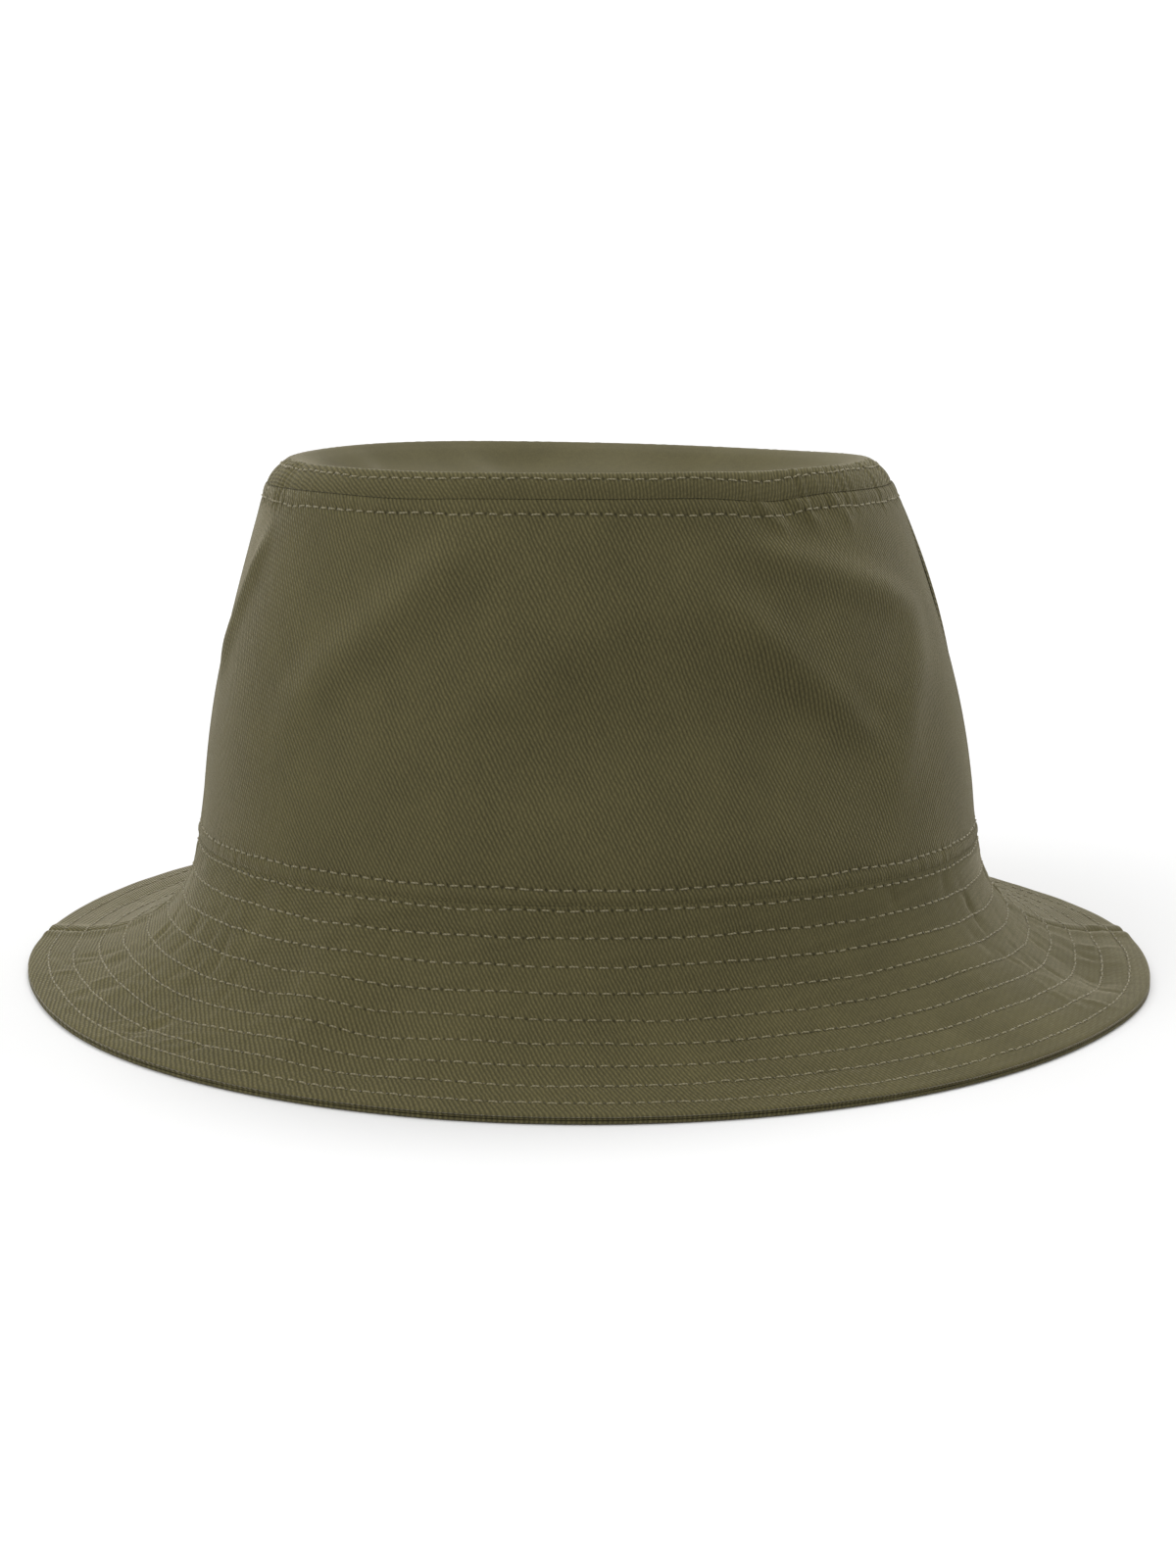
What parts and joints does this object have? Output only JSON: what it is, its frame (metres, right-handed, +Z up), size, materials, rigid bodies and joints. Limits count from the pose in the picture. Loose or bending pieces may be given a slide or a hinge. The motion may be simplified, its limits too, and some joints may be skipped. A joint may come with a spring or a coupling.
{
  "type": "bucket hat",
  "caption": "Cotton twill bucket hat: oval top panel, tapered crown, flared stitched brim with hidden interlining, inner sweatband and a loose care label hanging inside.",
  "frame": {"origin": "on the floor, under the middle of the rim's width and depth", "axes": "+Z up, -Y to the front of the hat, +X to the wearer's left"},
  "size_m": [0.2534, 0.2708, 0.1261],
  "materials": {
    "olive_twill": "matte cotton twill",
    "olive_underside": "matte cotton twill",
    "interlining": "bonded non-woven",
    "band_cotton": "matte cotton band",
    "tape_cotton": "matte cotton tape",
    "label_satin": "blank woven satin",
    "sewing_thread": "spun polyester thread"
  },
  "bodies": {
    "hat": {"tip_panel": "olive_twill", "crown_panel_front": "olive_twill", "crown_panel_back": "olive_twill", "upper_brim_front": "olive_twill", "upper_brim_back": "olive_twill", "under_brim_front": "olive_underside", "under_brim_back": "olive_underside", "brim_stiffener_front": "interlining", "brim_stiffener_back": "interlining", "sweatband": "band_cotton", "tip_seam_binding": "tape_cotton", "side_seam_binding_left": "tape_cotton", "side_seam_binding_right": "tape_cotton", "main_label": "label_satin", "tip_topstitch": "sewing_thread", "crown_top_topstitch": "sewing_thread", "crown_base_topstitch": "sewing_thread", "brim_stitch_row_1": "sewing_thread", "brim_stitch_row_2": "sewing_thread", "brim_stitch_row_3": "sewing_thread", "brim_stitch_row_4": "sewing_thread", "brim_stitch_row_5": "sewing_thread", "brim_stitch_row_6": "sewing_thread", "brim_stitch_row_7": "sewing_thread", "brim_stitch_row_8": "sewing_thread", "brim_stitch_row_9": "sewing_thread"},
    "care_label_tape": {"care_label": "label_satin"}
  },
  "joints": [
    {"name": "care_label_swing", "type": "hinge", "parent": "hat", "child": "care_label_tape", "pos_m": [-0.07678, -0.00203, 0.08081], "axis": [0, -1, 0], "range_deg": [0, 75]}
  ]
}
